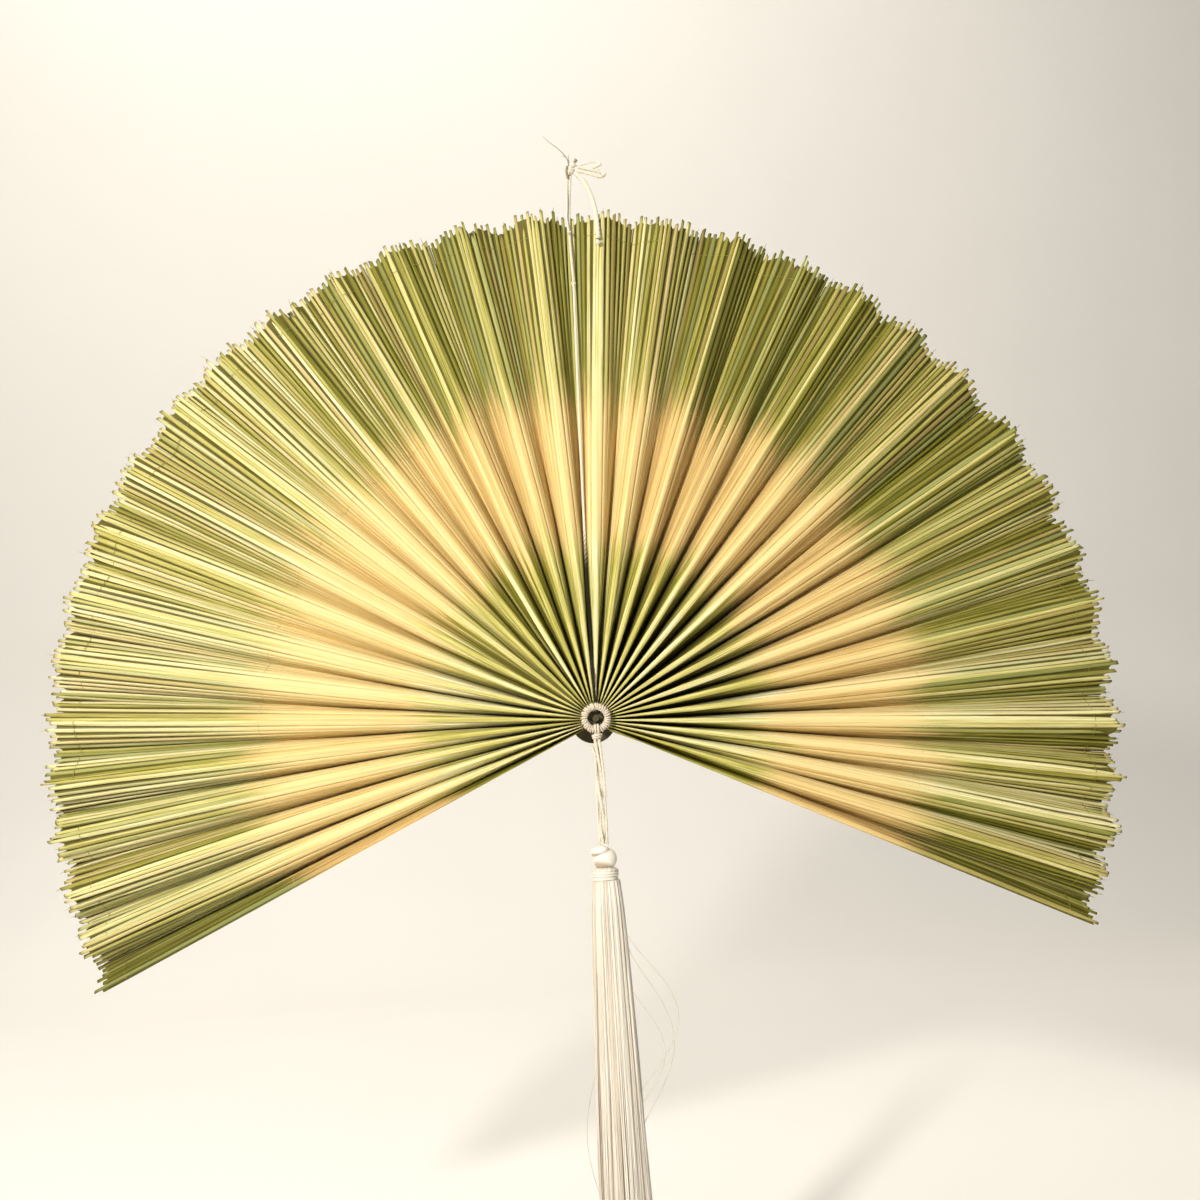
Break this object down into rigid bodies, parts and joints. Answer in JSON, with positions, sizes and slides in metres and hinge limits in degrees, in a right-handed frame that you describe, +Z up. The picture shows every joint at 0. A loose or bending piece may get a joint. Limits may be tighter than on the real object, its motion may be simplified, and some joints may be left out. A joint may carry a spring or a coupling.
{
  "type": "bamboo folding wall fan",
  "caption": "Pleated folding fan of dyed split bamboo reeds, opened wide on a hanging cord, with a cord-wound ring and a long thread tassel at its pivot.",
  "frame": {"origin": "where the cord's bow loop hangs on its nail, above the pivot", "axes": "+X to the right across the open fan, +Y back to the wall, +Z up"},
  "size_m": [0.6552, 0.0442, 0.6744],
  "materials": {
    "mat": "split bamboo, dyed green at the rim and the pivot, natural between",
    "valley_reeds": "split bamboo",
    "plug": "dark olive, satin",
    "ring_core": "bare cane",
    "winding": "cotton cord",
    "cord": "cotton cord",
    "tassel_thread": "silky thread"
  },
  "bodies": {
    "hub": {"rib_00": "valley_reeds", "hub_plug": "plug", "ring_core": "ring_core", "ring_winding": "winding", "hanging_cord": "cord", "hanging_cord_top": "cord", "cord_tail": "cord", "bow_loop": "cord", "frayed_tail": "cord", "top_knot": "cord", "burr_knot": "cord", "tail_knot": "cord"},
    "fold_R01_reeds": {"rib_R01": "valley_reeds"},
    "fold_R02_reeds": {"rib_R02": "valley_reeds", "leaf_R1": "mat"},
    "fold_R03_reeds": {"rib_R03": "valley_reeds"},
    "fold_R04_reeds": {"rib_R04": "valley_reeds"},
    "fold_R05_reeds": {"rib_R05": "valley_reeds"},
    "fold_R06_reeds": {"rib_R06": "valley_reeds", "leaf_R2": "mat"},
    "fold_R07_reeds": {"rib_R07": "valley_reeds"},
    "fold_R08_reeds": {"rib_R08": "valley_reeds"},
    "fold_R09_reeds": {"rib_R09": "valley_reeds"},
    "fold_R10_reeds": {"rib_R10": "valley_reeds", "leaf_R3": "mat"},
    "fold_R11_reeds": {"rib_R11": "valley_reeds"},
    "fold_R12_reeds": {"rib_R12": "valley_reeds"},
    "fold_R13_reeds": {"rib_R13": "valley_reeds"},
    "fold_R14_reeds": {"rib_R14": "valley_reeds", "leaf_R4": "mat"},
    "fold_R15_reeds": {"rib_R15": "valley_reeds"},
    "fold_R16_reeds": {"rib_R16": "valley_reeds"},
    "fold_L01_reeds": {"rib_L01": "valley_reeds"},
    "fold_L02_reeds": {"rib_L02": "valley_reeds", "leaf_L1": "mat"},
    "fold_L03_reeds": {"rib_L03": "valley_reeds"},
    "fold_L04_reeds": {"rib_L04": "valley_reeds"},
    "fold_L05_reeds": {"rib_L05": "valley_reeds"},
    "fold_L06_reeds": {"rib_L06": "valley_reeds", "leaf_L2": "mat"},
    "fold_L07_reeds": {"rib_L07": "valley_reeds"},
    "fold_L08_reeds": {"rib_L08": "valley_reeds"},
    "fold_L09_reeds": {"rib_L09": "valley_reeds"},
    "fold_L10_reeds": {"rib_L10": "valley_reeds", "leaf_L3": "mat"},
    "fold_L11_reeds": {"rib_L11": "valley_reeds"},
    "fold_L12_reeds": {"rib_L12": "valley_reeds"},
    "fold_L13_reeds": {"rib_L13": "valley_reeds"},
    "fold_L14_reeds": {"rib_L14": "valley_reeds", "leaf_L4": "mat"},
    "fold_L15_reeds": {"rib_L15": "valley_reeds"},
    "fold_L16_reeds": {"rib_L16": "valley_reeds"},
    "hitch": {"tassel_hitch": "cord"},
    "tassel": {"tassel_cord_1": "cord", "tassel_cord_2": "cord", "tassel_ball": "tassel_thread", "tassel_collar": "tassel_thread", "tassel_skirt": "tassel_thread"}
  },
  "joints": [
    {"name": "fold_R01", "type": "hinge", "parent": "hub", "child": "fold_R01_reeds", "pos_m": [-0.00725, 0, -0.353], "axis": [0, -1, 0], "range_deg": [0, 7.9]},
    {"name": "fold_R02", "type": "hinge", "parent": "fold_R01_reeds", "child": "fold_R02_reeds", "pos_m": [-0.00576, 0, -0.35321], "axis": [0, -1, 0], "range_deg": [0, 7.89], "deforming": ["leaf_R1"]},
    {"name": "fold_R03", "type": "hinge", "parent": "fold_R02_reeds", "child": "fold_R03_reeds", "pos_m": [-0.00432, 0, -0.35361], "axis": [0, -1, 0], "range_deg": [0, 7.88]},
    {"name": "fold_R04", "type": "hinge", "parent": "fold_R03_reeds", "child": "fold_R04_reeds", "pos_m": [-0.00295, 0, -0.35422], "axis": [0, -1, 0], "range_deg": [0, 7.85]},
    {"name": "fold_R05", "type": "hinge", "parent": "fold_R04_reeds", "child": "fold_R05_reeds", "pos_m": [-0.00167, 0, -0.355], "axis": [0, -1, 0], "range_deg": [0, 7.81]},
    {"name": "fold_R06", "type": "hinge", "parent": "fold_R05_reeds", "child": "fold_R06_reeds", "pos_m": [-0.00051, 0, -0.35595], "axis": [0, -1, 0], "range_deg": [0, 7.74], "deforming": ["leaf_R2"]},
    {"name": "fold_R07", "type": "hinge", "parent": "fold_R06_reeds", "child": "fold_R07_reeds", "pos_m": [0.00051, 0, -0.35705], "axis": [0, -1, 0], "range_deg": [0, 7.65]},
    {"name": "fold_R08", "type": "hinge", "parent": "fold_R07_reeds", "child": "fold_R08_reeds", "pos_m": [0.00138, 0, -0.35827], "axis": [0, -1, 0], "range_deg": [0, 7.53]},
    {"name": "fold_R09", "type": "hinge", "parent": "fold_R08_reeds", "child": "fold_R09_reeds", "pos_m": [0.00208, 0, -0.3596], "axis": [0, -1, 0], "range_deg": [0, 7.37]},
    {"name": "fold_R10", "type": "hinge", "parent": "fold_R09_reeds", "child": "fold_R10_reeds", "pos_m": [0.0026, 0, -0.36101], "axis": [0, -1, 0], "range_deg": [0, 7.17], "deforming": ["leaf_R3"]},
    {"name": "fold_R11", "type": "hinge", "parent": "fold_R10_reeds", "child": "fold_R11_reeds", "pos_m": [0.00294, 0, -0.36247], "axis": [0, -1, 0], "range_deg": [0, 6.93]},
    {"name": "fold_R12", "type": "hinge", "parent": "fold_R11_reeds", "child": "fold_R12_reeds", "pos_m": [0.00311, 0, -0.36396], "axis": [0, -1, 0], "range_deg": [0, 6.63]},
    {"name": "fold_R13", "type": "hinge", "parent": "fold_R12_reeds", "child": "fold_R13_reeds", "pos_m": [0.0031, 0, -0.36546], "axis": [0, -1, 0], "range_deg": [0, 6.29]},
    {"name": "fold_R14", "type": "hinge", "parent": "fold_R13_reeds", "child": "fold_R14_reeds", "pos_m": [0.00293, 0, -0.36695], "axis": [0, -1, 0], "range_deg": [0, 5.89], "deforming": ["leaf_R4"]},
    {"name": "fold_R15", "type": "hinge", "parent": "fold_R14_reeds", "child": "fold_R15_reeds", "pos_m": [0.0026, 0, -0.36841], "axis": [0, -1, 0], "range_deg": [0, 5.43]},
    {"name": "fold_R16", "type": "hinge", "parent": "fold_R15_reeds", "child": "fold_R16_reeds", "pos_m": [0.00214, 0, -0.36984], "axis": [0, -1, 0], "range_deg": [0, 4.9]},
    {"name": "fold_L01", "type": "hinge", "parent": "hub", "child": "fold_L01_reeds", "pos_m": [-0.00875, 0, -0.353], "axis": [0, 1, 0], "range_deg": [0, 7.9]},
    {"name": "fold_L02", "type": "hinge", "parent": "fold_L01_reeds", "child": "fold_L02_reeds", "pos_m": [-0.01024, 0, -0.35321], "axis": [0, 1, 0], "range_deg": [0, 7.89], "deforming": ["leaf_L1"]},
    {"name": "fold_L03", "type": "hinge", "parent": "fold_L02_reeds", "child": "fold_L03_reeds", "pos_m": [-0.01168, 0, -0.35361], "axis": [0, 1, 0], "range_deg": [0, 7.88]},
    {"name": "fold_L04", "type": "hinge", "parent": "fold_L03_reeds", "child": "fold_L04_reeds", "pos_m": [-0.01305, 0, -0.35422], "axis": [0, 1, 0], "range_deg": [0, 7.85]},
    {"name": "fold_L05", "type": "hinge", "parent": "fold_L04_reeds", "child": "fold_L05_reeds", "pos_m": [-0.01433, 0, -0.355], "axis": [0, 1, 0], "range_deg": [0, 7.81]},
    {"name": "fold_L06", "type": "hinge", "parent": "fold_L05_reeds", "child": "fold_L06_reeds", "pos_m": [-0.01549, 0, -0.35595], "axis": [0, 1, 0], "range_deg": [0, 7.74], "deforming": ["leaf_L2"]},
    {"name": "fold_L07", "type": "hinge", "parent": "fold_L06_reeds", "child": "fold_L07_reeds", "pos_m": [-0.01651, 0, -0.35705], "axis": [0, 1, 0], "range_deg": [0, 7.65]},
    {"name": "fold_L08", "type": "hinge", "parent": "fold_L07_reeds", "child": "fold_L08_reeds", "pos_m": [-0.01738, 0, -0.35827], "axis": [0, 1, 0], "range_deg": [0, 7.53]},
    {"name": "fold_L09", "type": "hinge", "parent": "fold_L08_reeds", "child": "fold_L09_reeds", "pos_m": [-0.01808, 0, -0.3596], "axis": [0, 1, 0], "range_deg": [0, 7.37]},
    {"name": "fold_L10", "type": "hinge", "parent": "fold_L09_reeds", "child": "fold_L10_reeds", "pos_m": [-0.0186, 0, -0.36101], "axis": [0, 1, 0], "range_deg": [0, 7.17], "deforming": ["leaf_L3"]},
    {"name": "fold_L11", "type": "hinge", "parent": "fold_L10_reeds", "child": "fold_L11_reeds", "pos_m": [-0.01894, 0, -0.36247], "axis": [0, 1, 0], "range_deg": [0, 6.93]},
    {"name": "fold_L12", "type": "hinge", "parent": "fold_L11_reeds", "child": "fold_L12_reeds", "pos_m": [-0.01911, 0, -0.36396], "axis": [0, 1, 0], "range_deg": [0, 6.63]},
    {"name": "fold_L13", "type": "hinge", "parent": "fold_L12_reeds", "child": "fold_L13_reeds", "pos_m": [-0.0191, 0, -0.36546], "axis": [0, 1, 0], "range_deg": [0, 6.29]},
    {"name": "fold_L14", "type": "hinge", "parent": "fold_L13_reeds", "child": "fold_L14_reeds", "pos_m": [-0.01893, 0, -0.36695], "axis": [0, 1, 0], "range_deg": [0, 5.89], "deforming": ["leaf_L4"]},
    {"name": "fold_L15", "type": "hinge", "parent": "fold_L14_reeds", "child": "fold_L15_reeds", "pos_m": [-0.0186, 0, -0.36841], "axis": [0, 1, 0], "range_deg": [0, 5.43]},
    {"name": "fold_L16", "type": "hinge", "parent": "fold_L15_reeds", "child": "fold_L16_reeds", "pos_m": [-0.01814, 0, -0.36984], "axis": [0, 1, 0], "range_deg": [0, 4.9]},
    {"name": "tassel_swing", "type": "hinge", "parent": "hub", "child": "hitch", "pos_m": [-0.008, -0.015, -0.364], "axis": [0, 1, 0], "range_deg": [-45, 45]},
    {"name": "tassel_lift", "type": "hinge", "parent": "hitch", "child": "tassel", "pos_m": [-0.008, -0.015, -0.371], "axis": [-1, 0, 0], "range_deg": [-3, 80]}
  ],
  "couplings": [
    {"joint": "fold_R02", "follows": "fold_R01", "ratio": 0.99935},
    {"joint": "fold_R03", "follows": "fold_R01", "ratio": 0.99759},
    {"joint": "fold_R04", "follows": "fold_R01", "ratio": 0.99416},
    {"joint": "fold_R05", "follows": "fold_R01", "ratio": 0.9885},
    {"joint": "fold_R06", "follows": "fold_R01", "ratio": 0.98006},
    {"joint": "fold_R07", "follows": "fold_R01", "ratio": 0.96829},
    {"joint": "fold_R08", "follows": "fold_R01", "ratio": 0.95262},
    {"joint": "fold_R09", "follows": "fold_R01", "ratio": 0.9325},
    {"joint": "fold_R10", "follows": "fold_R01", "ratio": 0.90737},
    {"joint": "fold_R11", "follows": "fold_R01", "ratio": 0.87668},
    {"joint": "fold_R12", "follows": "fold_R01", "ratio": 0.83987},
    {"joint": "fold_R13", "follows": "fold_R01", "ratio": 0.79639},
    {"joint": "fold_R14", "follows": "fold_R01", "ratio": 0.74567},
    {"joint": "fold_R15", "follows": "fold_R01", "ratio": 0.68716},
    {"joint": "fold_R16", "follows": "fold_R01", "ratio": 0.62031},
    {"joint": "fold_L02", "follows": "fold_L01", "ratio": 0.99935},
    {"joint": "fold_L03", "follows": "fold_L01", "ratio": 0.99759},
    {"joint": "fold_L04", "follows": "fold_L01", "ratio": 0.99416},
    {"joint": "fold_L05", "follows": "fold_L01", "ratio": 0.9885},
    {"joint": "fold_L06", "follows": "fold_L01", "ratio": 0.98006},
    {"joint": "fold_L07", "follows": "fold_L01", "ratio": 0.96829},
    {"joint": "fold_L08", "follows": "fold_L01", "ratio": 0.95262},
    {"joint": "fold_L09", "follows": "fold_L01", "ratio": 0.9325},
    {"joint": "fold_L10", "follows": "fold_L01", "ratio": 0.90737},
    {"joint": "fold_L11", "follows": "fold_L01", "ratio": 0.87668},
    {"joint": "fold_L12", "follows": "fold_L01", "ratio": 0.83987},
    {"joint": "fold_L13", "follows": "fold_L01", "ratio": 0.79639},
    {"joint": "fold_L14", "follows": "fold_L01", "ratio": 0.74567},
    {"joint": "fold_L15", "follows": "fold_L01", "ratio": 0.68716},
    {"joint": "fold_L16", "follows": "fold_L01", "ratio": 0.62031}
  ]
}
